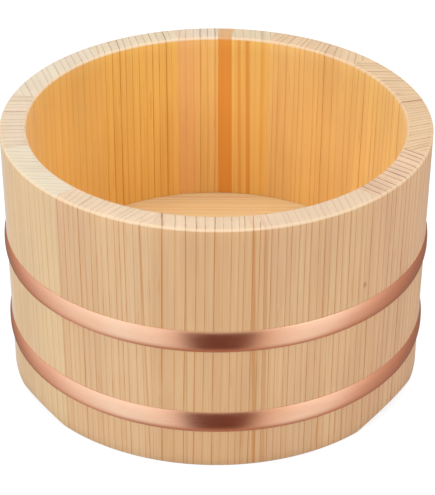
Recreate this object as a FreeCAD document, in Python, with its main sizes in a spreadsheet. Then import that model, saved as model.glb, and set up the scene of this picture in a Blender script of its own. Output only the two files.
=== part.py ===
import FreeCAD, Part
import os
import Sketcher

# A small round coopered tub of light softwood, held by two copper hoops.
# Frame: +Z up, origin on the axis at the foot, the front of the tub towards -Y. Millimetres.

# Driving sizes: name and value
SIZES = [
    # Wall
    ("TopDiameter", 210),
    ("FootDiameter", 206.6),
    ("TubHeight", 131.4),
    ("WallThickness", 12.7),
    ("RimChamfer", 1.1),
    ("FootChamfer", 0.8),
    # Angle, from +X, of the joint that stave 1 starts at, and the angle each stave takes
    ("FirstJointAngle", 254),
    ("StaveAngle01", 27.5),
    ("StaveAngle02", 32.7),
    ("StaveAngle03", 28.1),
    ("StaveAngle04", 34.7),
    ("StaveAngle05", 24.3),
    ("StaveAngle06", 31.5),
    ("StaveAngle07", 16.8),
    ("StaveAngle08", 13.3),
    ("StaveAngle09", 27.1),
    ("StaveAngle10", 35.5),
    ("StaveAngle11", 31.3),
    ("StaveAngle12", 29.2),
    # Arched notches in the foot: two beside the front, one at the back, cut to unequal depths
    ("NotchCutterRadius", 95),
    ("RightNotchRise", 3.8),
    ("LeftNotchRise", 2.3),
    ("BackNotchRise", 3.2),
    ("SideNotchAngle", 57),
    # Hoops, driven up the taper from the foot
    ("UpperHoopHeight", 71.6),
    ("LowerHoopHeight", 26.1),
    ("HoopWidth", 11),
    ("HoopThickness", 1.1),
    ("HoopCrownRise", 0.45),
    ("HoopFitClearance", 0.04),
    # Bottom, let into the croze groove
    ("FloorHeight", 38.5),
    ("BottomThickness", 14),
    ("CrozeDepth", 4),
    ("BottomRimClearance", 0.2),
    ("BottomTopClearance", 0.1),
    ("FrontBoardWidth", 60),
    ("MiddleBoardWidth", 68),
    # Bamboo pins across the joints
    ("PinDiameter", 3),
    ("StavePinLength", 20),
    ("UpperPinHeight", 104),
    ("LowerPinHeight", 48),
    ("BottomPinLength", 24),
    ("BottomPinOffset", 45),
    ("PinFitClearance", 0.05),
    ("PinEndClearance", 0.5),
]
STAVE_COUNT = 13
PIN_HEIGHTS = ["UpperPinHeight", "LowerPinHeight"]
# How far a cutting solid runs past what it cuts
OVERRUN = 5

doc = FreeCAD.newDocument("CooperedTub")

# Spreadsheet of the driving sizes
sheet = doc.addObject("Spreadsheet::Sheet", "Sizes")
for row, (size_name, size_value) in enumerate(SIZES, start=1):
    sheet.set("A%d" % row, size_name)
    sheet.set("B%d" % row, str(size_value))
    sheet.setAlias("B%d" % row, size_name)
doc.recompute()


def sized(formula):
    """Write the names of sizes in a formula as references to the sheet."""
    for size_name, _ in sorted(SIZES, key=lambda size: -len(size[0])):
        formula = formula.replace("{" + size_name + "}", "Sizes." + size_name)
    return formula


def value_of(formula):
    """The number a formula gives with the sheet as it stands."""
    result = sheet.evalExpression(sized(formula))
    return float(getattr(result, "Value", result))


def bind(item, prop, formula):
    """Tie a property to a formula of the sizes."""
    item.setExpression(prop, sized(formula))


def part(kind, name):
    """Add an object whose label is its name."""
    item = doc.addObject(kind, name)
    item.Label = name
    return item


# Radii of the wall at a height, as formulas
def outer_radius(height):
    return "({FootDiameter} / 2 + ({TopDiameter} - {FootDiameter}) / 2 * (%s) / {TubHeight})" % height


def inner_radius(height):
    return "(%s - {WallThickness})" % outer_radius(height)


# Clear of the whole wall, whichever end is the wider
BEYOND_WALL = "(max({TopDiameter}; {FootDiameter}) / 2 + %d)" % OVERRUN
BOTTOM_UNDERSIDE = "({FloorHeight} - {BottomThickness})"
CROZE_RADIUS = "(%s + {CrozeDepth})" % inner_radius("{FloorHeight}")


# Sketch helpers
def origin_plane(body, role):
    return next(plane for plane in body.Origin.OriginFeatures if plane.Role == role)


def upright_sketch(body, name):
    """A sketch on the body's XZ plane: across is the radius, up is the height."""
    sketch = body.newObject("Sketcher::SketchObject", name)
    sketch.AttachmentSupport = [(origin_plane(body, "XZ_Plane"), "")]
    sketch.MapMode = "FlatFace"
    return sketch


def pin_point(sketch, line, end, across, up):
    """Dimension one end of a line from the origin."""
    for kind, formula in (("DistanceX", across), ("DistanceY", up)):
        number = sketch.addConstraint(Sketcher.Constraint(kind, -1, 1, line, end, value_of(formula)))
        sketch.setExpression("Constraints[%d]" % number, sized(formula))


def closed_outline(sketch, corners):
    """Draw straight lines through corners given as pairs of formulas, and close them."""
    points = [FreeCAD.Vector(value_of(across), value_of(up), 0) for across, up in corners]
    count = len(points)
    for index in range(count):
        sketch.addGeometry(Part.LineSegment(points[index], points[(index + 1) % count]), False)
    for index in range(count):
        sketch.addConstraint(Sketcher.Constraint("Coincident", index, 2, (index + 1) % count, 1))
        pin_point(sketch, index, 1, *corners[index])


def turned(body, kind, name, sketch):
    """Revolve a sketch a full turn about the body's vertical axis."""
    feature = body.newObject(kind, name)
    feature.Profile = sketch
    feature.ReferenceAxis = (sketch, ["V_Axis"])
    feature.Angle = 360
    return feature


def round_edges_at(shape, rings):
    """Names of the circular edges that lie at the given pairs of radius and height."""
    near = 0.01
    names = []
    for number, edge in enumerate(shape.Edges, start=1):
        if not isinstance(edge.Curve, Part.Circle):
            continue
        for radius, height in rings:
            if abs(edge.Curve.Radius - radius) < near and abs(edge.Curve.Center.z - height) < near:
                names.append("Edge%d" % number)
    return names


def chamfer_rings(body, name, base, rings, size):
    """Chamfer the circular edges of a feature at the given rings."""
    doc.recompute()
    feature = body.newObject("PartDesign::Chamfer", name)
    places = [(value_of(radius), value_of(height)) for radius, height in rings]
    feature.Base = (base, round_edges_at(base.Shape, places))
    bind(feature, "Size", size)
    return feature


# The wall as it is turned once its staves are joined
def make_turned_wall():
    body = part("PartDesign::Body", "turned_wall")

    # Inside, the wall follows the outer taper down to the bottom, and is bored straight below it
    section = upright_sketch(body, "wall_section")
    step = "({FloorHeight} - {BottomThickness} / 2)"
    closed_outline(section, [
        (inner_radius("0"), "0"),
        (outer_radius("0"), "0"),
        (outer_radius("{TubHeight}"), "{TubHeight}"),
        (inner_radius("{TubHeight}"), "{TubHeight}"),
        (inner_radius(step), step),
        (inner_radius("0"), step),
    ])
    blank = turned(body, "PartDesign::Revolution", "wall_blank", section)

    rim_rings = [(radius("{TubHeight}"), "{TubHeight}") for radius in (outer_radius, inner_radius)]
    rim = chamfer_rings(body, "rim_chamfer", blank, rim_rings, "{RimChamfer}")
    chamfer_rings(body, "foot_chamfer", rim, [(outer_radius("0"), "0")], "{FootChamfer}")

    # Croze: the groove that carries the bottom
    croze_top = "({FloorHeight} + {BottomTopClearance})"
    inside = "(%s - %d)" % (inner_radius("{FloorHeight}"), OVERRUN)
    croze = upright_sketch(body, "croze_section")
    closed_outline(croze, [
        (inside, BOTTOM_UNDERSIDE),
        (CROZE_RADIUS, BOTTOM_UNDERSIDE),
        (CROZE_RADIUS, croze_top),
        (inside, croze_top),
    ])
    turned(body, "PartDesign::Groove", "croze", croze)

    # Foot notches: each the arc of a round cutter held level and radial
    notches = [("right", "{SideNotchAngle}"), ("left", "-{SideNotchAngle}"), ("back", "180")]
    for place, angle in notches:
        centre_height = "{%sNotchRise} - {NotchCutterRadius}" % place.capitalize()
        outline = upright_sketch(body, place + "_notch_outline")
        outline.AttachmentOffset = FreeCAD.Placement(
            FreeCAD.Vector(), FreeCAD.Rotation(FreeCAD.Vector(0, 1, 0), 1))
        bind(outline, "AttachmentOffset.Rotation.Angle", angle)
        centre = FreeCAD.Vector(0, value_of(centre_height), 0)
        circle = Part.Circle(centre, FreeCAD.Vector(0, 0, 1), value_of("{NotchCutterRadius}"))
        outline.addGeometry(circle, False)
        outline.addConstraint(Sketcher.Constraint("PointOnObject", 0, 3, -2))
        drop = outline.addConstraint(Sketcher.Constraint("DistanceY", -1, 1, 0, 3, centre.y))
        bind(outline, "Constraints[%d]" % drop, centre_height)
        size = outline.addConstraint(Sketcher.Constraint("Radius", 0, circle.Radius))
        bind(outline, "Constraints[%d]" % size, "{NotchCutterRadius}")
        notch = body.newObject("PartDesign::Pocket", place + "_notch")
        notch.Profile = outline
        notch.Reversed = True
        bind(notch, "Length", BEYOND_WALL)
    return body


# Pins: a whittled six-sided prism laid through a joint, or the hole made for it
def pin_prism(name, length, is_hole, placement):
    pin = part("Part::Prism", name)
    pin.Polygon = 6
    if is_hole:
        bind(pin, "Circumradius", "{PinDiameter} / 2 + {PinFitClearance}")
        bind(pin, "Height", length + " + 2 * {PinEndClearance}")
    else:
        bind(pin, "Circumradius", "{PinDiameter} / 2")
        bind(pin, "Height", length)
    bind(pin, "Placement", placement)
    return pin


def joint_angle(number):
    """Angle of the joint that stave `number` starts at."""
    spans = "".join(" + {StaveAngle%02d}" % before for before in range(1, number))
    return "({FirstJointAngle}%s)" % spans


def stave_pin_group(name, is_hole):
    """Two pins across each stave joint, square to it and in the middle of the wall."""
    pins = []
    for number in range(1, STAVE_COUNT + 1):
        for level, height in enumerate(PIN_HEIGHTS, start=1):
            height = "{%s}" % height
            half = "{StavePinLength} / 2"
            if is_hole:
                half += " + {PinEndClearance}"
            middle = "(%s - {WallThickness} / 2)" % outer_radius(height)
            turn = "placement(vector(0; 0; 0); rotation(vector(0; 0; 1); %s))" % joint_angle(number)
            lay = ("placement(vector(%s; -(%s); %s); rotation(vector(1; 0; 0); -90))"
                   % (middle, half, height))
            pin_name = "%s_%02d_%d" % (name, number, level)
            pins.append(pin_prism(pin_name, "{StavePinLength}", is_hole, turn + " * " + lay))
    group = part("Part::Compound", name)
    group.Links = pins
    return group


def board_joint(number):
    """Y of the joint behind the front board (1) or behind the middle board (2)."""
    front = "(-(%s - {BottomRimClearance}) + {FrontBoardWidth})" % CROZE_RADIUS
    return front if number == 1 else "(%s + {MiddleBoardWidth})" % front


def bottom_pin_group(name, is_hole):
    """Two pins across each joint of the bottom boards, at half their thickness."""
    pins = []
    for joint in (1, 2):
        for side in (-1, 1):
            half = "{BottomPinLength} / 2"
            if is_hole:
                half += " + {PinEndClearance}"
            lay = ("placement(vector(%d * {BottomPinOffset}; %s - (%s); %s + {BottomThickness} / 2); "
                   "rotation(vector(1; 0; 0); -90))" % (side, board_joint(joint), half, BOTTOM_UNDERSIDE))
            pin_name = "%s_%d_%s" % (name, joint, "left" if side < 0 else "right")
            pins.append(pin_prism(pin_name, "{BottomPinLength}", is_hole, lay))
    group = part("Part::Compound", name)
    group.Links = pins
    return group


def common(name, base, tool):
    piece = part("Part::Common", name)
    piece.Base = base
    piece.Tool = tool
    return piece


def cut(name, base, tool):
    piece = part("Part::Cut", name)
    piece.Base = base
    piece.Tool = tool
    return piece


# Staves: the turned wall between two joint planes that pass through the axis
def make_staves():
    wall = cut("drilled_wall", make_turned_wall(), stave_pin_group("stave_pin_holes", True))
    staves = []
    for number in range(1, STAVE_COUNT + 1):
        sector = part("Part::Cylinder", "stave_%02d_sector" % number)
        bind(sector, "Radius", BEYOND_WALL)
        bind(sector, "Height", "{TubHeight}")
        if number < STAVE_COUNT:
            bind(sector, "Angle", "{StaveAngle%02d}" % number)
        else:
            bind(sector, "Angle", "360 - (%s - {FirstJointAngle})" % joint_angle(number))
        bind(sector, "Placement", "placement(vector(0; 0; 0); rotation(vector(0; 0; 1); %s))"
             % joint_angle(number))
        staves.append(common("stave_%02d" % number, wall, sector))
    return staves


# Bottom: three boards pinned edge to edge, trued to a disc and let into the croze
def make_bottom_boards():
    disc_radius = "(%s - {BottomRimClearance})" % CROZE_RADIUS
    disc_body = part("PartDesign::Body", "bottom_disc")
    section = upright_sketch(disc_body, "disc_section")
    closed_outline(section, [
        ("0", BOTTOM_UNDERSIDE),
        (disc_radius, BOTTOM_UNDERSIDE),
        (disc_radius, "{FloorHeight}"),
        ("0", "{FloorHeight}"),
    ])
    turned(disc_body, "PartDesign::Revolution", "disc_blank", section)
    drilled = cut("drilled_disc", disc_body, bottom_pin_group("bottom_pin_holes", True))

    limits = ["(-(%s) - %d)" % (disc_radius, OVERRUN), board_joint(1), board_joint(2),
              "(%s + %d)" % (disc_radius, OVERRUN)]
    boards = []
    for place, near, far in zip(("front", "middle", "back"), limits, limits[1:]):
        slab = part("Part::Box", "bottom_%s_slab" % place)
        bind(slab, "Length", "2 * (%s + %d)" % (disc_radius, OVERRUN))
        bind(slab, "Width", "%s - (%s)" % (far, near))
        bind(slab, "Height", "{BottomThickness} + 2 * %d" % OVERRUN)
        bind(slab, "Placement.Base.x", "-(%s + %d)" % (disc_radius, OVERRUN))
        bind(slab, "Placement.Base.y", near)
        bind(slab, "Placement.Base.z", "%s - %d" % (BOTTOM_UNDERSIDE, OVERRUN))
        boards.append(common("bottom_board_" + place, drilled, slab))
    return boards


# Hoop: a straight copper band with a crowned face, which bears on the taper at its upper edge
def make_hoop(place):
    body = part("PartDesign::Body", place + "_hoop")
    height = "{%sHoopHeight}" % place.capitalize()
    low = "(%s - {HoopWidth} / 2)" % height
    high = "(%s + {HoopWidth} / 2)" % height
    wall = "max(%s; %s)" % (outer_radius(low), outer_radius(high))
    back = "(%s + {HoopFitClearance})" % wall
    crown = "(%s + {HoopThickness})" % back
    edge = "(%s - {HoopCrownRise})" % crown
    corners = [(edge, high), (back, high), (back, low), (edge, low)]
    points = [FreeCAD.Vector(value_of(across), value_of(up), 0) for across, up in corners]
    middle = FreeCAD.Vector(value_of(crown), value_of(height), 0)

    section = upright_sketch(body, place + "_hoop_section")
    for start, end in zip(points, points[1:]):
        section.addGeometry(Part.LineSegment(start, end), False)
    face = section.addGeometry(Part.Arc(points[3], middle, points[0]), False)
    section.addConstraint(Sketcher.Constraint("Coincident", 0, 2, 1, 1))
    section.addConstraint(Sketcher.Constraint("Coincident", 1, 2, 2, 1))
    # The crown runs anticlockwise, from the lower edge to the upper one
    section.addConstraint(Sketcher.Constraint("Coincident", 2, 2, face, 1))
    section.addConstraint(Sketcher.Constraint("Coincident", face, 2, 0, 1))
    for line in range(3):
        pin_point(section, line, 1, *corners[line])
    pin_point(section, 2, 2, *corners[3])
    crown_radius = "({HoopWidth} ^ 2 / 4 + {HoopCrownRise} ^ 2) / (2 * {HoopCrownRise})"
    size = section.addConstraint(Sketcher.Constraint("Radius", face, value_of(crown_radius)))
    bind(section, "Constraints[%d]" % size, crown_radius)
    turned(body, "PartDesign::Revolution", place + "_hoop_band", section)
    return body


pieces = make_staves()
pieces += make_bottom_boards()
pieces += [make_hoop("upper"), make_hoop("lower")]
pieces += [stave_pin_group("stave_pins", False), bottom_pin_group("bottom_pins", False)]
doc.recompute()

# Every object has to have worked before anything is written
for item in doc.Objects:
    if "Invalid" in item.State or "Error" in item.State:
        raise RuntimeError("%s is %s" % (item.Label, item.State))
for piece in pieces:
    if piece.Shape.isNull() or not piece.Shape.isValid() or not piece.Shape.Solids:
        raise RuntimeError("%s has no sound solid" % piece.Label)

os.makedirs("parts", exist_ok=True)
for piece in pieces:
    piece.Shape.exportStep("parts/%s.step" % piece.Label)
    print("%-20s %2d solid(s) %9.0f mm3" % (piece.Label, len(piece.Shape.Solids), piece.Shape.Volume))
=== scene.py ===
import math

import bmesh
import bpy
from mathutils import Matrix, Vector


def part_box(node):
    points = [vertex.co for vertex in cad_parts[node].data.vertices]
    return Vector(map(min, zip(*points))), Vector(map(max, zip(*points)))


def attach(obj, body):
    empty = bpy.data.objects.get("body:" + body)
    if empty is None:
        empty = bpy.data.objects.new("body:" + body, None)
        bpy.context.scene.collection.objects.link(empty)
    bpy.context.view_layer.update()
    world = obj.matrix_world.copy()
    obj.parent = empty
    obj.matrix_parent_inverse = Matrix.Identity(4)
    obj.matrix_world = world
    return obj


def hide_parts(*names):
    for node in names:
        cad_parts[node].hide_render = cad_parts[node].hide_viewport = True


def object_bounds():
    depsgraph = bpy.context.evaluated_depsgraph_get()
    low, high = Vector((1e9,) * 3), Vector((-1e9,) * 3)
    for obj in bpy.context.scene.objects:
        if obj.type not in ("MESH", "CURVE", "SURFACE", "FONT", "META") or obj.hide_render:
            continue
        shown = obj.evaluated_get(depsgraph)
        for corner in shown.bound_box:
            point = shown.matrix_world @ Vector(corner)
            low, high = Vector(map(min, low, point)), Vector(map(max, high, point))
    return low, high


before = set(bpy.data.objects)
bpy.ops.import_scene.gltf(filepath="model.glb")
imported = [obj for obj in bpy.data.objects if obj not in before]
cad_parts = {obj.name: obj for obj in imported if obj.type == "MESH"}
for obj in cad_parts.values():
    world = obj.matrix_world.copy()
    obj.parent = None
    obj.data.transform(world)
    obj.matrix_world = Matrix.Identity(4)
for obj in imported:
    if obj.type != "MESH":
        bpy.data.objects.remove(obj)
cad_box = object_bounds()

# A round coopered tub of softwood staves with two copper hoops. Lengths are in metres.
# Plan angles are in degrees from the front (-Y), positive towards the right (+X).
MM = 0.001

# Main sizes, as the frame has them
TUB_HEIGHT = cad_box[1][2]
RIM_RADIUS = 105 * MM
FOOT_RADIUS = 103.3 * MM
WALL = 12.7 * MM
RIM_ROUND = 1.1 * MM
FOOT_ROUND = 0.8 * MM
INNER_FOOT_ROUND = 0.3 * MM
# The eased corners of the rim and the foot are nearly flat
FULLNESS = 1.25
NOTCH_CUTTER_RADIUS = 95 * MM
# Plan angle of each notch in the foot, and how far it is cut up
NOTCHES = ((57, 3.8 * MM), (-57, 2.3 * MM), (180, 3.2 * MM))
CROZE_DEPTH = 4 * MM
CROZE_CLEARANCE = 0.1 * MM
HOOP_THICKNESS = 1.1 * MM
# How much thinner a hoop is at its edges than in the middle, and how flat it stays in between
HOOP_THINNING = 0.95 * MM
HOOP_FLATNESS = 2.6
STAVE_COUNT = 13
BOARDS = ("bottom_board_front", "bottom_board_middle", "bottom_board_back")
BOTTOM_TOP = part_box("bottom_board_middle")[1].z
BOTTOM_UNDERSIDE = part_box("bottom_board_middle")[0].z


def outer_radius(height):
    """Radius of the plain taper at a height."""
    return FOOT_RADIUS + (RIM_RADIUS - FOOT_RADIUS) * height / TUB_HEIGHT


def inner_radius(height):
    """Radius of the inside at a height, a wall's thickness in from the taper."""
    return outer_radius(height) - WALL


def plan_point(angle, radius, height=0.0):
    """The point at a plan angle, a distance from the axis and a height."""
    turn = math.radians(angle)
    return Vector((radius * math.sin(turn), -radius * math.cos(turn), height))


# Camera, fitted to the rim, the hoops and the foot
CAMERA_ELEVATION = math.radians(31.33)
CAMERA_DISTANCE = 0.9975
CAMERA_AIM_HEIGHT = 58.65 * MM
CAMERA_SIDESTEP = 0.8 * MM
CAMERA_ROLL = math.radians(0.27)
CAMERA_NEAR = 10 * MM
# In millimetres, as the camera takes them
LENS = 143.86
SENSOR_WIDTH = 36


def make_camera():
    """The photograph's camera."""
    data = bpy.data.cameras.new("camera")
    data.lens = LENS
    data.sensor_width = SENSOR_WIDTH
    data.clip_start = CAMERA_NEAR
    camera = bpy.data.objects.new("camera", data)
    bpy.context.scene.collection.objects.link(camera)
    back = Vector((0, -math.cos(CAMERA_ELEVATION), math.sin(CAMERA_ELEVATION)))
    upright = Vector((0, math.sin(CAMERA_ELEVATION), math.cos(CAMERA_ELEVATION)))
    right = Vector((1, 0, 0))
    axes = Matrix((right, upright, back)).transposed() @ Matrix.Rotation(CAMERA_ROLL, 3, "Z")
    camera.matrix_world = axes.to_4x4()
    camera.location = Vector((CAMERA_SIDESTEP, 0, CAMERA_AIM_HEIGHT)) + CAMERA_DISTANCE * back
    bpy.context.scene.camera = camera


# Meshes
MERGE_DISTANCE = 0.001 * MM


def new_piece(name, points, faces, material, sharp_angle=40):
    """A smooth-shaded object from points and faces, kept sharp at its arrises."""
    mesh = bpy.data.meshes.new(name)
    mesh.from_pydata(points, [], faces)
    shape = bmesh.new()
    shape.from_mesh(mesh)
    bmesh.ops.remove_doubles(shape, verts=shape.verts, dist=MERGE_DISTANCE)
    bmesh.ops.recalc_face_normals(shape, faces=shape.faces)
    shape.to_mesh(mesh)
    shape.free()
    mesh.shade_smooth()
    mesh.set_sharp_from_angle(angle=math.radians(sharp_angle))
    mesh.materials.append(material)
    piece = bpy.data.objects.new(name, mesh)
    bpy.context.scene.collection.objects.link(piece)
    return piece


def ring_faces(rings, size, closed=False):
    """Faces between neighbouring rings of points. Closed joins the last ring to the first."""
    faces = []
    for ring in range(rings if closed else rings - 1):
        following = (ring + 1) % rings
        for corner in range(size):
            beside = (corner + 1) % size
            faces.append((ring * size + corner, ring * size + beside,
                          following * size + beside, following * size + corner))
    return faces


def end_caps(rings, size):
    """The two faces that close the first and the last ring."""
    last = (rings - 1) * size
    return [tuple(reversed(range(size))), tuple(last + corner for corner in range(size))]


def eased(centre, size, start, steps, fullness=2.0):
    """A quarter turn round a corner of a section from an angle in degrees, in the section's
    own order: a round at fullness 2, nearly a flat chamfer towards 1."""
    points = []
    for step in range(steps + 1):
        turn = math.radians(start + 90 * step / steps)
        across, up = math.cos(turn), math.sin(turn)
        points.append((centre[0] + size * math.copysign(abs(across) ** (2 / fullness), across),
                       centre[1] + size * math.copysign(abs(up) ** (2 / fullness), up)))
    return points


def straight(start, end, steps):
    """Points between two ends of a straight line, both left out."""
    return [(start[0] + (end[0] - start[0]) * step / steps, start[1] + (end[1] - start[1]) * step / steps)
            for step in range(1, steps)]


def stave_section():
    """The stave's section as points of radius and height, up the outside and down the inside."""
    foot_in = (inner_radius(0), 0.0)
    outer_low = outer_radius(0) - FOOT_ROUND
    rim_out = RIM_RADIUS - RIM_ROUND
    rim_in = inner_radius(TUB_HEIGHT) + RIM_ROUND
    high = TUB_HEIGHT - RIM_ROUND
    croze_top = BOTTOM_TOP + CROZE_CLEARANCE
    croze_out = inner_radius(BOTTOM_TOP) + CROZE_DEPTH
    inner_corner = (foot_in[0] + INNER_FOOT_ROUND, INNER_FOOT_ROUND)
    points = eased(inner_corner, INNER_FOOT_ROUND, 180, 2)
    points += straight(points[-1], (outer_low, 0), 6)
    points += eased((outer_low, FOOT_ROUND), FOOT_ROUND, -90, 6, FULLNESS)
    points += straight(points[-1], (RIM_RADIUS, high), 24)
    points += eased((rim_out, high), RIM_ROUND, 0, 10, FULLNESS)
    points += straight(points[-1], (rim_in, TUB_HEIGHT), 6)
    points += eased((rim_in, high), RIM_ROUND, 90, 10, FULLNESS)
    points += straight(points[-1], (inner_radius(croze_top), croze_top), 14)
    points += [(inner_radius(croze_top), croze_top), (croze_out, croze_top),
               (croze_out, BOTTOM_UNDERSIDE), (foot_in[0], BOTTOM_UNDERSIDE)]
    points += straight(points[-1], (foot_in[0], INNER_FOOT_ROUND), 5)
    return points


def notch_height(angle, radius):
    """How high the foot is cut away at a plan angle and radius: an arc across each notch."""
    height = 0.0
    for notch, rise in NOTCHES:
        away = math.radians((angle - notch + 180) % 360 - 180)
        across = radius * math.sin(away)
        if math.cos(away) > 0 and abs(across) < NOTCH_CUTTER_RADIUS:
            cut = rise - NOTCH_CUTTER_RADIUS + math.sqrt(NOTCH_CUTTER_RADIUS ** 2 - across ** 2)
            height = max(height, cut)
    return height


def stave_span(node):
    """The plan angles that a stave lies between, read from its frame mesh."""
    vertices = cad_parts[node].data.vertices
    angles = [math.degrees(math.atan2(vertex.co.x, -vertex.co.y)) for vertex in vertices]
    base = angles[0]
    turned = [(angle - base + 180) % 360 - 180 for angle in angles]
    return base + min(turned), base + max(turned)


# Degrees between the columns of a stave's mesh, the size of its softened arrises, and how high
# above the foot the mesh still follows a notch
COLUMN_STEP = 0.6
ARRIS_DEPTH = 0.06 * MM
ARRIS_WIDTH = 0.15 * MM
NOTCH_REACH = 14 * MM


def make_stave(node, material):
    """A stave: its section carried round from joint to joint, with softened arrises."""
    start, end = stave_span(node)
    section = stave_section()
    count = max(8, round((end - start) / COLUMN_STEP))
    arris = math.degrees(ARRIS_WIDTH / RIM_RADIUS)
    columns = [(start, ARRIS_DEPTH), (start + arris, 0.0)]
    columns += [(start + (end - start) * step / count, 0.0) for step in range(1, count)]
    columns += [(end - arris, 0.0), (end, ARRIS_DEPTH)]
    middle_radius = (inner_radius(0) + outer_radius(0)) / 2
    points = []
    for angle, sunk in columns:
        for radius, height in section:
            lift = notch_height(angle, radius) * max(0.0, 1 - (height / NOTCH_REACH) ** 2)
            if sunk:
                radius += math.copysign(sunk, middle_radius - radius)
                height += sunk if height < TUB_HEIGHT / 2 else -sunk
            points.append(plan_point(angle, radius, height + lift))
    faces = ring_faces(len(columns), len(section)) + end_caps(len(columns), len(section))
    piece = new_piece(node + "_wood", points, faces, material)
    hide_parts(node)
    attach(piece, "root")


BOARD_ARRIS = 0.25 * MM
BOARD_STEPS = 48


def board_outline(radius, near, far):
    """A board in plan: the part of a disc between two straight joints across it."""
    turns = [math.asin(max(-1.0, min(1.0, joint / radius))) for joint in (near, far)]
    right = []
    for step in range(BOARD_STEPS + 1):
        turn = turns[0] + (turns[1] - turns[0]) * step / BOARD_STEPS
        right.append((radius * math.cos(turn), radius * math.sin(turn)))
    return right + [(-across, ahead) for across, ahead in reversed(right)]


def make_board(node, material):
    """A bottom board, as wide and thick as the frame's, with eased arrises round both faces."""
    low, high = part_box(node)
    radius = max(vertex.co.xy.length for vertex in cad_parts[node].data.vertices)
    near, far = max(low.y, -radius), min(high.y, radius)
    edge = eased((high.z - BOARD_ARRIS, 0.0), BOARD_ARRIS, 0, 3)
    rings = [(low.z + high.z - height, BOARD_ARRIS - side) for height, side in edge]
    rings += [(height, BOARD_ARRIS - side) for height, side in reversed(edge)]
    points = []
    for height, inset in rings:
        outline = board_outline(radius - inset, near + inset, far - inset)
        points += [(across, ahead, height) for across, ahead in outline]
    size = len(points) // len(rings)
    faces = ring_faces(len(rings), size) + end_caps(len(rings), size)
    piece = new_piece(node + "_wood", points, faces, material)
    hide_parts(node)
    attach(piece, "root")


HOOP_STEPS = 30
HOOP_TURNS = 360


def make_hoop(node, material):
    """A hoop: a rounded band, thin at its edges, turned about the axis."""
    low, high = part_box(node)
    radius = high.x
    middle = (low.z + high.z) / 2
    half = (high.z - low.z) / 2
    back = radius - HOOP_THICKNESS
    section = [(back, low.z), (back, high.z)]
    for step in range(HOOP_STEPS + 1):
        # Points crowd towards the edges, where the band curves most
        share = math.sin(math.pi / 2 * (1 - 2 * step / HOOP_STEPS))
        section.append((radius - HOOP_THINNING * abs(share) ** HOOP_FLATNESS, middle + half * share))
    points = [plan_point(turn * 360 / HOOP_TURNS, across, height)
              for turn in range(HOOP_TURNS) for across, height in section]
    faces = ring_faces(HOOP_TURNS, len(section), closed=True)
    piece = new_piece(node + "_copper", points, faces, material, sharp_angle=50)
    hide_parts(node)
    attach(piece, "root")


# Node helpers
def add_node(tree, kind, **settings):
    """A new node, with its settings given by name."""
    node = tree.nodes.new(kind)
    for name, value in settings.items():
        setattr(node, name, value)
    return node


def feed(tree, socket, value):
    """Link an output to a socket, or set the socket's own value."""
    if isinstance(value, bpy.types.NodeSocket):
        tree.links.new(value, socket)
    else:
        socket.default_value = value


def math_node(tree, operation, first, second=0.0, third=0.0, clamp=False):
    """One step of arithmetic on values or outputs."""
    node = add_node(tree, "ShaderNodeMath", operation=operation, use_clamp=clamp)
    for socket, value in zip(node.inputs, (first, second, third)):
        feed(tree, socket, value)
    return node.outputs[0]


def vector_node(tree, operation, first, second=(0, 0, 0), output=0):
    """One step of arithmetic on vectors. Output 1 is the result that is a plain value."""
    node = add_node(tree, "ShaderNodeVectorMath", operation=operation)
    feed(tree, node.inputs[0], first)
    feed(tree, node.inputs[1], second)
    return node.outputs[output]


def remap(tree, value, low, high, to_low=0.0, to_high=1.0, kind="SMOOTHSTEP"):
    """Carry a value from one range to another, smoothly unless kind says LINEAR."""
    node = add_node(tree, "ShaderNodeMapRange", interpolation_type=kind)
    for name, number in (("Value", value), ("From Min", low), ("From Max", high),
                         ("To Min", to_low), ("To Max", to_high)):
        feed(tree, node.inputs[name], number)
    return node.outputs[0]


def split_vector(tree, vector):
    """The X, Y and Z of a vector."""
    node = add_node(tree, "ShaderNodeSeparateXYZ")
    feed(tree, node.inputs[0], vector)
    return node.outputs


def join_vector(tree, **axes):
    """A vector from the axes given, with 0 for the rest."""
    node = add_node(tree, "ShaderNodeCombineXYZ")
    for axis, value in axes.items():
        feed(tree, node.inputs[axis], value)
    return node.outputs[0]


def noise(tree, vector, detail=2.0, roughness=0.5):
    """Noise from 0 to 1 with one wave to a unit of the vector."""
    node = add_node(tree, "ShaderNodeTexNoise")
    feed(tree, node.inputs["Vector"], vector)
    node.inputs["Scale"].default_value = 1.0
    node.inputs["Detail"].default_value = detail
    node.inputs["Roughness"].default_value = roughness
    return node.outputs["Fac"]


def fine_noise(tree, place, fineness, detail=2.0):
    """Noise with so many waves to a metre along each axis."""
    return noise(tree, vector_node(tree, "MULTIPLY", place, fineness), detail)


def wander(tree, place, fineness, size, detail=2.0):
    """Noise as a length that goes either way from zero."""
    swing = math_node(tree, "SUBTRACT", fine_noise(tree, place, fineness, detail), 0.5)
    return math_node(tree, "MULTIPLY", swing, size)


def random_of(tree, number):
    """A random value from 0 to 1, always the same for the same number."""
    node = add_node(tree, "ShaderNodeTexWhiteNoise", noise_dimensions="1D")
    feed(tree, node.inputs["W"], number)
    return node.outputs["Value"]


def mix_colour(tree, amount, first, second, blend="MIX"):
    """The first colour with an amount of the second over it."""
    node = add_node(tree, "ShaderNodeMix", data_type="RGBA", blend_type=blend)
    feed(tree, node.inputs[0], amount)
    feed(tree, node.inputs[6], first)
    feed(tree, node.inputs[7], second)
    return node.outputs[2]


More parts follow.
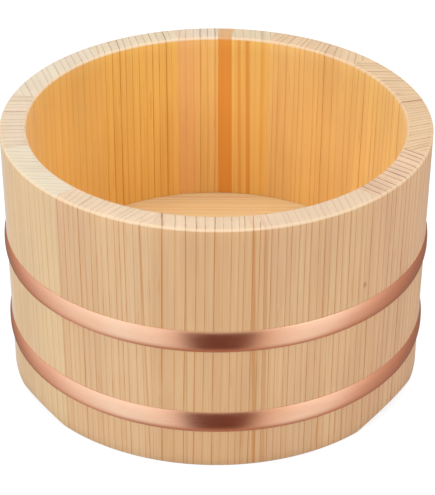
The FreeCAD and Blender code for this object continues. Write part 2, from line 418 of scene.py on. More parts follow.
def new_group(name, inputs, outputs):
    """A shader node group with named sockets, and its inner input and output nodes."""
    kinds = {"value": "NodeSocketFloat", "vector": "NodeSocketVector", "colour": "NodeSocketColor"}
    group = bpy.data.node_groups.new(name, "ShaderNodeTree")
    for socket_name, kind in inputs:
        group.interface.new_socket(name=socket_name, in_out="INPUT", socket_type=kinds[kind])
    for socket_name, kind in outputs:
        group.interface.new_socket(name=socket_name, in_out="OUTPUT", socket_type=kinds[kind])
    return group, group.nodes.new("NodeGroupInput"), group.nodes.new("NodeGroupOutput")


def use_group(tree, group, **values):
    """Place a group and set or link its inputs, named with underscores for spaces."""
    node = add_node(tree, "ShaderNodeGroup", node_tree=group)
    for name, value in values.items():
        feed(tree, node.inputs[name.replace("_", " ")], value)
    return node


def colour(red, green, blue):
    """A colour as a screen shows it, 0 to 255, made linear."""
    parts = []
    for part in (red, green, blue):
        part /= 255
        parts.append(part / 12.92 if part <= 0.04045 else ((part + 0.055) / 1.055) ** 2.4)
    return (*parts, 1.0)


# Growth rings: layers that cross the stave's section and run its whole length. Across points
# over the layers, and its Z part makes them lean. Fan turns the layers along their length, and
# Crowding draws them closer towards one side.
# Each ring runs from 0 to 1 and is darkest where its late wood ends, at RING_PEAK.
RING_PEAK = 0.95
# How finely and how far the layers wander, and how finely their lines fade. A fineness is waves
# to a metre along X, Y and Z, few along the grain
RING_WANDER_FINENESS = (70, 70, 7)
RING_WANDER = 1.0 * MM
FADING_FINENESS = (240, 240, 30)
# Waves to a ring of wet and dry years, and how much of a ring they move it
YEAR_FINENESS = 0.6
YEAR_SHARE = 0.9
# Fine lines to a ring, and their waves to a metre along the grain
FINE_LINES = 7.0
FINE_LINE_FINENESS = 9.0
# Draws a ring's tone apart from its strength
TONE_OFFSET = 0.37


def ring_layer(group, source, shifted):
    """Which ring a place lies in, counted from the middle of the piece, and how deep in it."""
    local = vector_node(group, "SUBTRACT", source["Position"], source["Centre"])
    across = vector_node(group, "DOT_PRODUCT", local, source["Across"], output=1)
    along = vector_node(group, "DOT_PRODUCT", local, source["Along"], output=1)
    squared = math_node(group, "MULTIPLY", across, across)
    crowded = math_node(group, "MULTIPLY", squared, source["Crowding"])
    fanned = math_node(group, "MULTIPLY", math_node(group, "MULTIPLY", across, along), source["Fan"])
    layer = math_node(group, "ADD", across, math_node(group, "ADD", crowded, fanned))
    drift = wander(group, shifted, RING_WANDER_FINENESS, RING_WANDER, detail=1.5)
    layer = math_node(group, "DIVIDE", math_node(group, "ADD", layer, drift), source["Spacing"])

    # Wet and dry years: the rings are not evenly spaced
    year = add_node(group, "ShaderNodeTexNoise", noise_dimensions="1D")
    feed(group, year.inputs["W"], math_node(group, "ADD", layer, source["Seed"]))
    year.inputs["Scale"].default_value = YEAR_FINENESS
    year.inputs["Detail"].default_value = 1
    return math_node(group, "ADD", layer, math_node(group, "MULTIPLY", year.outputs["Fac"], YEAR_SHARE))


def late_wood(group, source, shifted, layer, number):
    """The dark line of each ring, some stronger than others, which fades and comes back along
    the grain."""
    depth = math_node(group, "FRACT", layer)
    early = math_node(group, "SUBTRACT", RING_PEAK, source["Late Share"])
    soft = remap(group, depth, 0.4, RING_PEAK, 0.0, 0.1)
    line = remap(group, depth, early, RING_PEAK, 0.0, 0.9)
    fall = remap(group, depth, RING_PEAK, 1.0, 1.0, 0.0)
    strength = math_node(group, "POWER", random_of(group, number), 1.3)
    strength = remap(group, strength, 0.0, 1.0, 0.6, 1.0, kind="LINEAR")
    fading = fine_noise(group, shifted, FADING_FINENESS)
    strength = math_node(group, "MULTIPLY", strength, remap(group, fading, 0.35, 0.6, 0.75, 1.1))
    late = math_node(group, "MULTIPLY", math_node(group, "ADD", soft, line), fall)
    return math_node(group, "MULTIPLY", late, strength)


def fine_lines(group, shifted, layer):
    """Fine lines within each ring."""
    lengthwise = math_node(group, "MULTIPLY", split_vector(group, shifted)["Z"], FINE_LINE_FINENESS)
    crosswise = math_node(group, "MULTIPLY", layer, FINE_LINES)
    return noise(group, join_vector(group, X=crosswise, Y=lengthwise), detail=2.5, roughness=0.6)


def make_ring_group():
    group, inside, outside = new_group(
        "Growth Rings",
        [("Position", "vector"), ("Centre", "vector"), ("Across", "vector"), ("Along", "vector"),
         ("Spacing", "value"), ("Fan", "value"), ("Crowding", "value"), ("Late Share", "value"),
         ("Seed", "value")],
        [("Late Wood", "value"), ("Ring Tone", "value"), ("Fine Lines", "value")])
    source = inside.outputs
    shifted = vector_node(group, "ADD", source["Position"], source["Seed"])
    layer = ring_layer(group, source, shifted)
    number = math_node(group, "ADD", math_node(group, "FLOOR", layer), source["Seed"])
    tone = random_of(group, math_node(group, "ADD", number, TONE_OFFSET))
    feed(group, outside.inputs["Late Wood"], late_wood(group, source, shifted, layer, number))
    feed(group, outside.inputs["Ring Tone"], tone)
    feed(group, outside.inputs["Fine Lines"], fine_lines(group, shifted, layer))
    return group


# Fibres: fine streaks along the grain, broader tones and a few short dark flecks
STREAK_FINENESS = (1700, 1700, 26)
CLOUD_FINENESS = (50, 50, 9)
FLECK_FINENESS = (900, 900, 60)


def make_fibre_group():
    group, inside, outside = new_group(
        "Wood Fibres", [("Position", "vector"), ("Seed", "value")],
        [("Streaks", "value"), ("Cloud", "value"), ("Flecks", "value")])
    shifted = vector_node(group, "ADD", inside.outputs["Position"], inside.outputs["Seed"])
    flecks = fine_noise(group, shifted, FLECK_FINENESS, detail=0)
    feed(group, outside.inputs["Streaks"], fine_noise(group, shifted, STREAK_FINENESS, detail=3))
    feed(group, outside.inputs["Cloud"], fine_noise(group, shifted, CLOUD_FINENESS, detail=3))
    feed(group, outside.inputs["Flecks"], remap(group, flecks, 0.74, 0.86))
    return group


def facing_out(group, position, normal):
    """How far a face looks away from the tub's axis: 1 outside, -1 inside, 0 on the rim."""
    outward = vector_node(group, "NORMALIZE", vector_node(group, "MULTIPLY", position, (1, 1, 0)))
    return vector_node(group, "DOT_PRODUCT", normal, outward, output=1)


def line_amount(group, source, ring, fibre, end_grain):
    """How much of the line colour shows: late wood, each ring's own tone, fine lines and fibres."""
    plain = remap(group, end_grain, 0.0, 1.0, 1.0, 0.6, kind="LINEAR")
    tone = remap(group, ring.outputs["Ring Tone"], 0.0, 1.0, 0.0, 0.1, kind="LINEAR")
    fine = remap(group, ring.outputs["Fine Lines"], 0.35, 0.7, -0.04, 0.18, kind="LINEAR")
    streak = remap(group, fibre.outputs["Streaks"], 0.35, 0.65, -0.05, 0.09, kind="LINEAR")
    fine = math_node(group, "ADD", fine, streak)
    fine = math_node(group, "ADD", fine, math_node(group, "MULTIPLY", fibre.outputs["Flecks"], 0.25))
    amount = math_node(group, "ADD", tone, math_node(group, "MULTIPLY", fine, plain))
    amount = math_node(group, "ADD", amount, remap(group, fibre.outputs["Cloud"], 0.35, 0.65, -0.04, 0.08))
    amount = math_node(group, "ADD", amount, ring.outputs["Late Wood"])
    contrast = add_node(group, "ShaderNodeMix", data_type="FLOAT")
    feed(group, contrast.inputs[0], end_grain)
    feed(group, contrast.inputs[2], source["Contrast"])
    feed(group, contrast.inputs[3], source["End Contrast"])
    return math_node(group, "MULTIPLY", amount, contrast.outputs[0], clamp=True)


def paint_arris_highlight_and_shade(group, source, facing_up, shade):
    """The rim's planed arrises get a painted highlight, paler than the flat, and the faces that look down,
    such as the foot's arris, get painted shade.
    """
    # Painted highlight where the rim's arrises turn from the flat
    rising = remap(group, facing_up, 0.2, 0.5)
    flat = remap(group, facing_up, 0.8, 0.97, 1.0, 0.0)
    arris = math_node(group, "MULTIPLY", math_node(group, "MULTIPLY", rising, flat), 0.4)
    shade = mix_colour(group, arris, shade, source["Arris Colour"])
    # Painted shade on the faces that look down, darkest on the foot
    painted_shade_below = remap(group, facing_up, -0.6, -0.1, 0.6, 0.0)
    return mix_colour(group, painted_shade_below, shade, source["Foot Colour"])


def colour_by_face(group, source, kind, inner, end_grain):
    """The piece's Colour or Line on the outside, on the inside, where it carries painted warm bounce light,
    and on end grain.
    """
    shade = mix_colour(group, inner, source["Face " + kind], source["Inner " + kind])
    return mix_colour(group, end_grain, shade, source["End " + kind])


# What multiplies the colour of side grain where it is cooler
COOLER = (0.96, 0.985, 1.04, 1)


def cool_in_places(group, ground, cloud, end_grain):
    """Some of the side grain is cooler than the rest."""
    cooler = mix_colour(group, 1.0, ground, COOLER, blend="MULTIPLY")
    share = math_node(group, "MULTIPLY", remap(group, cloud, 0.42, 0.62),
                      math_node(group, "SUBTRACT", 1.0, end_grain))
    return mix_colour(group, share, ground, cooler)


# Planed softwood: rings and fibres turned into colour, roughness and relief.
# The grain runs along Z of the position it is given, and end grain faces Z.
def make_softwood_group(rings, fibres):
    group, inside, outside = new_group(
        "Planed Softwood",
        [("Position", "vector"), ("Normal", "vector"), ("Centre", "vector"), ("Across", "vector"),
         ("Along", "vector"), ("Spacing", "value"), ("Fan", "value"), ("Crowding", "value"),
         ("Late Share", "value"), ("Seed", "value"), ("Contrast", "value"), ("End Contrast", "value"),
         ("Face Colour", "colour"), ("Face Line", "colour"), ("Inner Colour", "colour"),
         ("Inner Line", "colour"), ("End Colour", "colour"), ("End Line", "colour"),
         # The painted arris highlight and the painted shade below
         ("Arris Colour", "colour"), ("Foot Colour", "colour")],
        [("Color", "colour"), ("Roughness", "value"), ("Height", "value")])
    source = inside.outputs
    ring = use_group(group, rings, Position=source["Position"], Centre=source["Centre"],
                     Across=source["Across"], Along=source["Along"], Spacing=source["Spacing"],
                     Fan=source["Fan"], Crowding=source["Crowding"], Late_Share=source["Late Share"],
                     Seed=source["Seed"])
    fibre = use_group(group, fibres, Position=source["Position"], Seed=source["Seed"])

    facing_up = split_vector(group, source["Normal"])["Z"]
    end_grain = remap(group, math_node(group, "ABSOLUTE", facing_up), 0.2, 0.5)
    # Faces that look into the tub take the inside colours, which carry painted warm bounce light
    inner = remap(group, facing_out(group, source["Position"], source["Normal"]), -0.5, -0.1, 1.0, 0.0)
    line = colour_by_face(group, source, "Line", inner, end_grain)
    ground = colour_by_face(group, source, "Colour", inner, end_grain)
    ground = cool_in_places(group, ground, fibre.outputs["Cloud"], end_grain)
    shade = mix_colour(group, line_amount(group, source, ring, fibre, end_grain), ground, line)
    # Painted highlight on the rim's arrises and painted shade on faces that look down
    shade = paint_arris_highlight_and_shade(group, source, facing_up, shade)
    rough = math_node(group, "ADD", remap(group, fibre.outputs["Streaks"], 0.3, 0.7, 0.5, 0.64),
                      math_node(group, "MULTIPLY", end_grain, 0.12))
    relief = math_node(group, "SUBTRACT", math_node(group, "MULTIPLY", fibre.outputs["Streaks"], 0.5),
                       math_node(group, "MULTIPLY", ring.outputs["Late Wood"], 0.4))
    feed(group, outside.inputs["Color"], shade)
    feed(group, outside.inputs["Roughness"], rough)
    feed(group, outside.inputs["Height"], relief)
    return group


# A streak of darker wood that runs the length of a stave between two planes, given by the
# normals that point into it. The mask is 1 within, and fades over Edge at both sides.
STREAK_WANDER_FINENESS = (40, 40, 8)
STREAK_WANDER = 0.8 * MM


def make_streak_group():
    group, inside, outside = new_group(
        "Heartwood Streak",
        [("Position", "vector"), ("Normal", "vector"), ("Start Normal", "vector"),
         ("End Normal", "vector"), ("Edge", "value"), ("Outside Share", "value"), ("End Share", "value")],
        [("Mask", "value"), ("End Grain", "value")])
    source = inside.outputs
    facing_up = split_vector(group, source["Normal"])["Z"]
    end_grain = remap(group, math_node(group, "ABSOLUTE", facing_up), 0.2, 0.6)
    end_share = remap(group, end_grain, 0.0, 1.0, 1.0, source["End Share"], kind="LINEAR")
    outside_share = remap(group, facing_out(group, source["Position"], source["Normal"]), -0.2, 0.5, 1.0,
                          source["Outside Share"])
    drift = wander(group, source["Position"], STREAK_WANDER_FINENESS, STREAK_WANDER)
    sides = []
    for name in ("Start Normal", "End Normal"):
        inward = vector_node(group, "DOT_PRODUCT", source["Position"], source[name], output=1)
        inward = math_node(group, "ADD", inward, drift)
        sides.append(math_node(group, "DIVIDE", inward, source["Edge"], clamp=True))
    sides = math_node(group, "MULTIPLY", math_node(group, "MULTIPLY", *sides), outside_share)
    feed(group, outside.inputs["Mask"], math_node(group, "MULTIPLY", sides, end_share))
    feed(group, outside.inputs["End Grain"], end_grain)
    return group


# A pin knot: a small dark eye, longer along the grain, with a soft ragged brown edge
KNOT_STRETCH = (1, 1, 0.55)
KNOT_FINENESS = (900, 900, 500)


def make_knot_group():
    group, inside, outside = new_group(
        "Pin Knot", [("Position", "vector"), ("Centre", "vector"), ("Size", "value")], [("Mask", "value")])
    source = inside.outputs
    local = vector_node(group, "SUBTRACT", source["Position"], source["Centre"])
    local = vector_node(group, "MULTIPLY", local, KNOT_STRETCH)
    ragged = fine_noise(group, source["Position"], KNOT_FINENESS)
    away = math_node(group, "DIVIDE", vector_node(group, "LENGTH", local, output=1), source["Size"])
    away = math_node(group, "ADD", away, math_node(group, "MULTIPLY", ragged, 0.5))
    feed(group, outside.inputs["Mask"], remap(group, away, 0.5, 1.3, 1.0, 0.0))
    return group


# Materials. Each piece takes its grain from another place in the noise
STAVE_SEED_STEP = 3.71
FIRST_BOARD_SEED = 60
BOARD_SEED_STEP = 5.3
BAMBOO_SEED = 88.0


def new_material(name):
    """A material with its node tree and its shader."""
    material = bpy.data.materials.new(name)
    material.use_nodes = True
    tree = material.node_tree
    return material, tree, tree.nodes["Principled BSDF"]


def add_relief(tree, shader, height, strength, depth):
    """Small bumps in the surface, from a height."""
    bump = add_node(tree, "ShaderNodeBump")
    bump.inputs["Strength"].default_value = strength
    bump.inputs["Distance"].default_value = depth
    feed(tree, bump.inputs["Height"], height)
    feed(tree, shader.inputs["Normal"], bump.outputs["Normal"])


def lay_softwood(tree, softwood, position, normal, wood, seed):
    """Place the softwood group for one stave or board, with that piece's own grain."""
    lines = math.radians(wood["lines"])
    along = Vector((math.cos(lines), math.sin(lines), 0))
    across = Vector((-math.sin(lines), math.cos(lines), wood["tilt"]))
    return use_group(
        tree, softwood, Position=position, Normal=normal, Centre=wood["centre"], Across=across,
        Along=along, Spacing=wood["spacing"] * MM, Fan=wood["fan"], Crowding=wood["crowding"],
        Late_Share=wood["late"], Seed=seed, Contrast=wood["contrast"], End_Contrast=wood["end_contrast"],
        Face_Colour=colour(*wood["face"]), Face_Line=colour(*wood["face_line"]),
        Inner_Colour=colour(*wood["inner"]), Inner_Line=colour(*wood["inner_line"]),
        End_Colour=colour(*wood["end"]), End_Line=colour(*wood["end_line"]),
        # The painted arris highlight and the painted shade below
        Arris_Colour=colour(*ARRIS_HIGHLIGHT_TINT), Foot_Colour=colour(*FOOT_SHADE_TINT))


def finish_wood(tree, shader, tint, grain):
    """Join the wood's colour, roughness and relief to the shader."""
    feed(tree, shader.inputs["Base Color"], tint)
    feed(tree, shader.inputs["Roughness"], grain.outputs["Roughness"])
    shader.inputs["Specular IOR Level"].default_value = 0.4
    shader.inputs["Sheen Weight"].default_value = 0.18
    shader.inputs["Sheen Roughness"].default_value = 0.4
    add_relief(tree, shader, grain.outputs["Height"], strength=0.3, depth=0.1 * MM)


# Colours of the painted highlight on the rim's planed arrises and of the painted shade on the foot's arris
# and other faces that look down
ARRIS_HIGHLIGHT_TINT = (246, 214, 174)
FOOT_SHADE_TINT = (158, 124, 92)
# The growth rings of a piece that says nothing else. "late" is the late wood's share of a ring
PLAIN_RINGS = {"tilt": 0.0, "fan": 0.0, "crowding": 0.0, "late": 0.13}
# What the staves share, and the grain of each, 1 to 13. "lines" is the direction of the ring
# lines in plan, in degrees from +X towards +Y; "spacing" is in millimetres
# The inner and inner_line colours are the wood's colours with painted warm bounce light from inside the
# tub, deeper and more golden than outside
PLAIN_STAVE = {
    **PLAIN_RINGS, "contrast": 1.0, "end_contrast": 0.7,
    "face": (222, 182, 134), "face_line": (192, 116, 30),
    "inner": (247, 203, 114), "inner_line": (196, 106, 0),
    "end": (209, 188, 162), "end_line": (138, 98, 66),
}
STAVE_WOODS = [
    {"lines": 90, "spacing": 4.0, "crowding": -8, "tilt": 0.01, "contrast": 0.85, "face": (222, 182, 136),
     "end": (213, 188, 158), "end_line": (132, 84, 36), "end_contrast": 0.9},
    {"lines": 103, "spacing": 3.2, "face": (227, 189, 145), "end": (210, 185, 157), "end_contrast": 0.5},
    {"lines": 140, "spacing": 3.9, "face": (228, 189, 146), "face_line": (184, 106, 40),
     "end": (216, 184, 153), "end_line": (112, 66, 40), "end_contrast": 1.2},
    {"lines": 20, "spacing": 2.5, "fan": 4, "face": (222, 183, 142), "inner": (250, 214, 134),
     "contrast": 0.75, "end": (210, 181, 145), "end_line": (148, 96, 52), "end_contrast": 1.1},
    {"lines": 0, "spacing": 3.5, "inner": (245, 207, 131), "inner_line": (196, 110, 10), "contrast": 0.8,
     "end": (211, 182, 145), "end_line": (132, 88, 58), "end_contrast": 1.2},
    {"lines": 70, "spacing": 3.6, "fan": 10, "inner": (241, 200, 126), "inner_line": (196, 106, 10),
     "contrast": 0.6, "end": (208, 180, 146), "end_line": (142, 94, 62), "end_contrast": 0.8},
    {"lines": 92, "spacing": 3.5, "late": 0.3, "contrast": 0.35, "inner": (239, 197, 112),
     "inner_line": (220, 130, 20), "end": (203, 187, 158), "end_line": (160, 122, 86), "end_contrast": 0.5},
    {"lines": 91, "spacing": 4.0, "inner": (242, 199, 122), "contrast": 0.65, "end": (210, 194, 172),
     "end_line": (126, 88, 64), "end_contrast": 1.0},
    {"lines": 103, "spacing": 3.7, "inner": (247, 201, 108), "contrast": 0.8, "end": (214, 197, 170),
     "end_line": (132, 98, 62), "end_contrast": 0.9},
    {"lines": 108, "spacing": 3.7, "inner": (242, 195, 110), "contrast": 0.4, "end": (211, 197, 174),
     "end_contrast": 0.6},
    # Stave 11's face colour carries a painted grazing sheen, paler and cooler than the rest
    {"lines": 2, "spacing": 3.8, "face": (227, 208, 181), "inner": (244, 198, 117), "contrast": 0.6,
     "end": (211, 192, 168), "end_contrast": 0.8},
    {"lines": -3, "spacing": 3.2, "face": (228, 198, 154), "face_line": (196, 134, 56), "contrast": 0.7,
     "end": (210, 198, 174), "end_contrast": 0.55},
    {"lines": 54, "spacing": 3.2, "fan": -6, "face": (226, 190, 147), "face_line": (194, 118, 34),
     "contrast": 0.9, "end": (213, 189, 161), "end_contrast": 0.6},
]
# Streaks of darker wood: plan angles at the foot, how much further to the right they lie at the
# rim ("lean"), both in degrees, width of the soft edge in millimetres, and how much shows.
# "outside" and "end" are the shares of it that show on the outside and on end grain, where
# "end_tint" is its colour
AMBER = (192, 118, 40)
PLAIN_STREAK = {"lean": 0.0, "outside": 1.0, "end": 0.35}
STREAKS = [
    {"stave": 1, "angles": (-7.5, -7.1), "edge": 0.3, "tint": (160, 98, 44), "amount": 0.35},
    {"stave": 1, "angles": (9.6, 10.8), "lean": -1.0, "edge": 0.7, "tint": AMBER, "amount": 0.5},
    {"stave": 2, "angles": (12.1, 13.3), "lean": -0.4, "edge": 0.6, "tint": AMBER, "amount": 0.35},
    {"stave": 13, "angles": (-17.6, -16.9), "lean": -1.6, "edge": 0.4, "tint": AMBER, "amount": 0.5},
    {"stave": 7, "angles": (174.2, 179.3), "lean": 0.7, "edge": 0.5, "tint": (222, 140, 46), "amount": 0.8,
     "outside": 0.4, "end": 0.85, "end_tint": (195, 127, 46)},
    {"stave": 7, "angles": (170.7, 172.6), "lean": 1.0, "edge": 1.0, "tint": (216, 130, 30), "amount": 0.5,
     "outside": 0.4, "end": 0.2},
    {"stave": 7, "angles": (167.7, 169.7), "lean": 1.2, "edge": 1.0, "tint": (214, 126, 24), "amount": 0.6,
     "outside": 0.4, "end": 0.1},
    {"stave": 8, "angles": (186.9, 193.4), "edge": 0.5, "tint": (236, 174, 122), "amount": 0.4,
     "outside": 0.5},
]
# The pin knot: plan angle in degrees, height and size in millimetres
KNOT = {"stave": 2, "angle": 41.5, "height": 86.4, "size": 1.35, "tint": (166, 102, 44), "amount": 0.62}


def add_streak(tree, groups, place, tint, streak):
    """Lay a streak of other wood over a stave's colour, with the growth rings still showing.
    Its angles are those at the foot, and it leans to one side towards the rim."""
    streak = dict(PLAIN_STREAK, **streak)
    start, end = (math.radians(angle) for angle in streak["angles"])
    lean = math.radians(streak["lean"]) * RIM_RADIUS / TUB_HEIGHT
    node = use_group(tree, groups["streak"], Position=place.outputs["Position"],
                     Normal=place.outputs["Normal"],
                     Start_Normal=Vector((math.cos(start), math.sin(start), -lean)),
                     End_Normal=Vector((-math.cos(end), -math.sin(end), lean)),
                     Edge=streak["edge"] * MM, Outside_Share=streak["outside"],
                     End_Share=streak["end"])
    amount = math_node(tree, "MULTIPLY", node.outputs["Mask"], streak["amount"])
    end_tint = streak.get("end_tint", streak["tint"])
    darker = mix_colour(tree, node.outputs["End Grain"], colour(*streak["tint"]), colour(*end_tint))
    return mix_colour(tree, amount, tint, darker)


def add_knot(tree, groups, place, tint):
    """Lay the pin knot over the colour of its stave."""
    height = KNOT["height"] * MM
    centre = plan_point(KNOT["angle"], outer_radius(height), height)
    knot = use_group(tree, groups["knot"], Position=place.outputs["Position"], Centre=centre,
                     Size=KNOT["size"] * MM)
    amount = math_node(tree, "MULTIPLY", knot.outputs["Mask"], KNOT["amount"])
    return mix_colour(tree, amount, tint, colour(*KNOT["tint"]))


def make_stave_material(number, groups):
    """One stave's wood: its own rings, and the streaks and the knot that lie in it."""
    material, tree, shader = new_material("stave_%02d_wood" % number)
    place = add_node(tree, "ShaderNodeNewGeometry")
    wood = dict(PLAIN_STAVE, **STAVE_WOODS[number - 1])
    start, end = stave_span("stave_%02d" % number)
    wood["centre"] = plan_point((start + end) / 2, RIM_RADIUS - WALL / 2)
    grain = lay_softwood(tree, groups["softwood"], place.outputs["Position"], place.outputs["Normal"],
                         wood, seed=number * STAVE_SEED_STEP)
    tint = grain.outputs["Color"]
    for streak in STREAKS:
        if streak["stave"] == number:
            tint = add_streak(tree, groups, place, tint, streak)
    if KNOT["stave"] == number:
        tint = add_knot(tree, groups, place, tint)
    finish_wood(tree, shader, tint, grain)
    return material


# The boards' rings lie flat, so their lines on the face are broad
BOARD_WOOD = {
    **PLAIN_RINGS, "lines": 20, "spacing": 3.6, "late": 0.3, "contrast": 0.5, "end_contrast": 0.5,
    "face": (232, 208, 160), "face_line": (200, 140, 76),
    "inner": (232, 208, 160), "inner_line": (200, 140, 76),
    "end": (232, 200, 152), "end_line": (186, 136, 84),
}
# Degrees that the rings turn by from board to board
BOARD_TURN = 25


def make_board_material(number, node, groups):
    """Bottom boards: the same wood with its grain from left to right."""
    material, tree, shader = new_material(node + "_wood")
    place = add_node(tree, "ShaderNodeNewGeometry")
    turned = []
    for output in ("Position", "Normal"):
        parts = split_vector(tree, place.outputs[output])
        turned.append(join_vector(tree, X=parts["Y"], Y=parts["Z"], Z=parts["X"]))
    low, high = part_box(node)
    wood = dict(BOARD_WOOD, centre=Vector(((low.y + high.y) / 2, low.z, 0)))
    wood["lines"] += BOARD_TURN * number
    grain = lay_softwood(tree, groups["softwood"], turned[0], turned[1], wood,
                         seed=FIRST_BOARD_SEED + number * BOARD_SEED_STEP)
    finish_wood(tree, shader, grain.outputs["Color"], grain)
    return material


COPPER = (250, 208, 182)
COPPER_DULL = (240, 186, 154)
# Brush lines: waves round the hoop to a radian, and waves up it to a metre
BRUSH_ALONG = 9.0
BRUSH_ACROSS = 4600.0
HANDLED_FINENESS = (26, 26, 60)


def make_copper_material():
    """Satin copper, polished round the hoop, a little duller where it has been handled."""
    material, tree, shader = new_material("satin_copper")
    place = add_node(tree, "ShaderNodeNewGeometry")
    parts = split_vector(tree, place.outputs["Position"])
    turn = math_node(tree, "ARCTAN2", parts["X"], parts["Y"])
    brushed = join_vector(tree, X=math_node(tree, "MULTIPLY", turn, BRUSH_ALONG),
                          Y=math_node(tree, "MULTIPLY", parts["Z"], BRUSH_ACROSS))
    streaks = noise(tree, brushed, detail=3)
    handled = fine_noise(tree, place.outputs["Position"], HANDLED_FINENESS, detail=3)
    dull = remap(tree, handled, 0.42, 0.72, 0.0, 0.4)
    dull = math_node(tree, "ADD", dull, remap(tree, streaks, 0.35, 0.7, -0.05, 0.1), clamp=True)
    feed(tree, shader.inputs["Base Color"],
         mix_colour(tree, dull, colour(*COPPER), colour(*COPPER_DULL)))
    feed(tree, shader.inputs["Roughness"], remap(tree, streaks, 0.3, 0.7, 0.2, 0.27))
    shader.inputs["Metallic"].default_value = 1.0
    add_relief(tree, shader, streaks, strength=0.04, depth=0.04 * MM)
    return material


BAMBOO = (226, 204, 150)
BAMBOO_FIBRE = (186, 154, 96)


def make_bamboo_material(groups):
    """Split bamboo of the hidden pins: pale, with dense fibre streaks."""
    material, tree, shader = new_material("split_bamboo")
    place = add_node(tree, "ShaderNodeNewGeometry")
    fibre = use_group(tree, groups["fibres"], Position=place.outputs["Position"], Seed=BAMBOO_SEED)
    amount = remap(tree, fibre.outputs["Streaks"], 0.3, 0.7)
    feed(tree, shader.inputs["Base Color"],
         mix_colour(tree, amount, colour(*BAMBOO), colour(*BAMBOO_FIBRE)))
    feed(tree, shader.inputs["Roughness"], remap(tree, fibre.outputs["Streaks"], 0.3, 0.7, 0.4, 0.6))
    return material


# Stage: floor, what the copper mirrors, lamps and world
FLOOR_HALF = 3.0
# A hair under the foot, so that the two faces are not in one plane
FLOOR_DROP = 0.05 * MM
# How much light the floor throws back at the tub, and what it shows of shadow and glow itself
FLOOR_BOUNCE = 0.74
FLOOR_SHADOW = 0.25
FLOOR_GLOW = 0.84


def seen_directly(tree):
    """1 for what the camera, a mirror or clear glass shows, 0 for light that falls on the tub."""
    path = add_node(tree, "ShaderNodeLightPath")
    shown = math_node(tree, "MAXIMUM", path.outputs["Is Camera Ray"], path.outputs["Is Glossy Ray"])
    return math_node(tree, "MAXIMUM", shown, path.outputs["Is Transmission Ray"])


def matt_grey(tree, tone):
    """A matt surface of one grey."""
    matt = add_node(tree, "ShaderNodeBsdfDiffuse")
    matt.inputs["Color"].default_value = (tone, tone, tone, 1)
    return matt.outputs[0]


def stage_material(name):
    """An empty material and its output."""
    material = bpy.data.materials.new(name)
    material.use_nodes = True
    material.node_tree.nodes.clear()
    output = add_node(material.node_tree, "ShaderNodeOutputMaterial")
    return material, material.node_tree, output.inputs["Surface"]


def make_floor_material():
    """White where it is seen, with the tub's soft shadow, and plain grey for the light it throws."""
    material, tree, surface = stage_material("pale_floor")
    white = add_node(tree, "ShaderNodeEmission")
    white.inputs["Strength"].default_value = FLOOR_GLOW
    seen = add_node(tree, "ShaderNodeAddShader")
    feed(tree, seen.inputs[0], matt_grey(tree, FLOOR_SHADOW))
    feed(tree, seen.inputs[1], white.outputs[0])
    both = add_node(tree, "ShaderNodeMixShader")
    feed(tree, both.inputs[0], seen_directly(tree))
    feed(tree, both.inputs[1], matt_grey(tree, FLOOR_BOUNCE))
    feed(tree, both.inputs[2], seen.outputs[0])
    feed(tree, surface, both.outputs[0])
    return material


def make_floor():
    """The pale floor that the tub stands on, which the copper doesn't mirror."""
    corners = [(-FLOOR_HALF, -FLOOR_HALF), (FLOOR_HALF, -FLOOR_HALF),
               (FLOOR_HALF, FLOOR_HALF), (-FLOOR_HALF, FLOOR_HALF)]
    points = [(across, ahead, -FLOOR_DROP) for across, ahead in corners]
    floor = new_piece("floor", points, [(0, 1, 2, 3)], make_floor_material())
    floor.visible_glossy = False


# What the copper mirrors: brightness round the tub as stops of plan angle and colour
MIRRORED = [
    (-180, (0.22, 0.15, 0.13)), (-150, (0.31, 0.18, 0.14)), (-125, (0.55, 0.32, 0.24)),
    (-100, (0.8, 0.61, 0.53)), (-80, (0.97, 0.85, 0.78)), (-55, (1.05, 1.08, 1.04)),
    (-32, (1.04, 1.0, 0.95)), (-20, (0.94, 0.78, 0.67)), (-12, (0.145, 0.036, 0.02)),
    (17, (0.145, 0.036, 0.02)), (24, (0.76, 0.54, 0.4)), (32, (0.94, 0.8, 0.68)),
    (45, (1.05, 1.0, 0.94)), (62, (1.0, 0.92, 0.86)), (80, (0.76, 0.54, 0.43)),
    (100, (0.56, 0.34, 0.26)), (125, (0.41, 0.22, 0.16)), (150, (0.29, 0.17, 0.14)),
]
NEAR_FLOOR = (0.42, 0.21, 0.14, 1.0)
OVERHEAD = (0.84, 0.78, 0.66, 1.0)
BLACK = (0.0, 0.0, 0.0, 1.0)
SURROUND_RADIUS = 2.5
SURROUND_COLUMNS = 64
SURROUND_ROWS = 32


def mirrored_round(tree, share):
    """The stops of colour round the tub, at a share of the turn."""
    ramp = add_node(tree, "ShaderNodeValToRGB")
    stops = ramp.color_ramp.elements
    while len(stops) < len(MIRRORED):
        stops.new(0.5)
    for stop, (angle, shade) in zip(stops, MIRRORED):
        stop.position = (angle + 180) / 360
        stop.color = (*shade, 1)
    feed(tree, ramp.inputs[0], share)
    return ramp.outputs["Color"]


def make_surround_material():
    """The studio in the copper: stops of colour round the tub, dimmer towards the floor, and one
    colour each close to the floor and overhead."""
    material, tree, surface = stage_material("mirrored_studio")
    place = add_node(tree, "ShaderNodeNewGeometry")
    away = vector_node(tree, "NORMALIZE", place.outputs["Position"])
    parts = split_vector(tree, away)
    turn = math_node(tree, "ARCTAN2", parts["X"], math_node(tree, "MULTIPLY", parts["Y"], -1.0))
    share = math_node(tree, "MULTIPLY_ADD", turn, 0.5 / math.pi, 0.5)
    height = parts["Z"]
    dimmer = remap(tree, height, -0.1, -0.8, 0.0, 0.14, kind="LINEAR")
    shade = mix_colour(tree, dimmer, mirrored_round(tree, share), BLACK)
    shade = mix_colour(tree, remap(tree, height, -0.7, -0.97), shade, NEAR_FLOOR)
    shade = mix_colour(tree, remap(tree, height, 0.02, 0.4), shade, OVERHEAD)
    glow = add_node(tree, "ShaderNodeEmission")
    feed(tree, glow.inputs["Color"], shade)
    feed(tree, surface, glow.outputs[0])
    material.cycles.emission_sampling = "NONE"
    return material


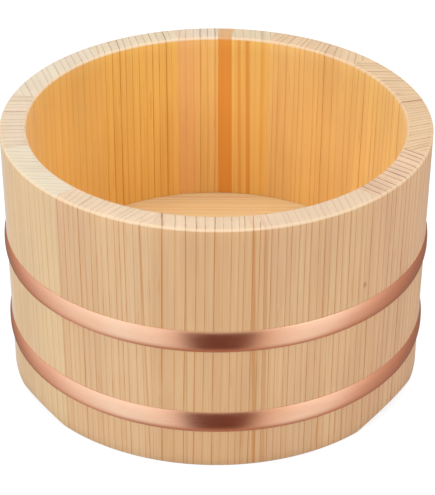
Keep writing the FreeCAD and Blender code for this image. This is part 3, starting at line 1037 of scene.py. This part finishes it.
def make_surround():
    """A sphere round the tub that only glossy rays see, so that the copper has a studio to mirror."""
    points = []
    for row in range(SURROUND_ROWS + 1):
        tilt = math.pi * row / SURROUND_ROWS
        radius, height = SURROUND_RADIUS * math.sin(tilt), SURROUND_RADIUS * math.cos(tilt)
        points += [plan_point(column * 360 / SURROUND_COLUMNS, radius, height)
                   for column in range(SURROUND_COLUMNS)]
    faces = ring_faces(SURROUND_ROWS + 1, SURROUND_COLUMNS)
    sphere = new_piece("surround", points, faces, make_surround_material())
    for ray in ("camera", "diffuse", "transmission", "volume_scatter", "shadow"):
        setattr(sphere, "visible_" + ray, False)


# Each lamp's name, place, width of its square, and power
LAMPS = [
    ("left_box", (-1.1, -0.8, 0.95), 0.9, 10.6),
    ("right_box", (1.1, -0.8, 0.85), 0.9, 7.5),
    ("top_box", (0, 0.1, 1.4), 1.1, 12.5),
]
LAMP_AIM = (0, 0, 0.06)
# Brightness of the sky as light on the tub, and as the background that is seen
SKY_LIGHT = 0.48
SKY_BEHIND = 1.0


def make_lamp(name, place, size, power):
    """A square soft box that faces the tub and is not seen itself."""
    data = bpy.data.lights.new(name, "AREA")
    data.shape = "RECTANGLE"
    data.size = size
    data.size_y = size
    data.energy = power
    lamp = bpy.data.objects.new(name, data)
    bpy.context.scene.collection.objects.link(lamp)
    lamp.location = place
    lamp.rotation_euler = (Vector(LAMP_AIM) - Vector(place)).to_track_quat("-Z", "Y").to_euler()
    lamp.visible_camera = False


def make_sky():
    """A white world: softer as light than as background."""
    world = bpy.data.worlds.new("studio")
    bpy.context.scene.world = world
    world.use_nodes = True
    tree = world.node_tree
    tree.nodes.clear()
    sky = add_node(tree, "ShaderNodeBackground")
    strength = remap(tree, seen_directly(tree), 0, 1, SKY_LIGHT, SKY_BEHIND, kind="LINEAR")
    feed(tree, sky.inputs["Strength"], strength)
    output = add_node(tree, "ShaderNodeOutputWorld")
    feed(tree, output.inputs["Surface"], sky.outputs[0])


# The tub from its pieces
def paint(node, material):
    """Give a frame node a better material and leave its shape alone."""
    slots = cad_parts[node].data.materials
    slots.clear()
    slots.append(material)


def make_tub():
    """All staves, boards, hoops and pins in their materials."""
    rings = make_ring_group()
    fibres = make_fibre_group()
    groups = {"fibres": fibres, "softwood": make_softwood_group(rings, fibres),
              "streak": make_streak_group(), "knot": make_knot_group()}
    for number in range(1, STAVE_COUNT + 1):
        make_stave("stave_%02d" % number, make_stave_material(number, groups))
    for number, node in enumerate(BOARDS, start=1):
        make_board(node, make_board_material(number, node, groups))
    copper = make_copper_material()
    make_hoop("upper_hoop", copper)
    make_hoop("lower_hoop", copper)
    bamboo = make_bamboo_material(groups)
    paint("stave_pins", bamboo)
    paint("bottom_pins", bamboo)


bpy.context.scene.view_settings.view_transform = "Standard"
make_camera()
make_tub()
make_floor()
make_surround()
for lamp in LAMPS:
    make_lamp(*lamp)
make_sky()
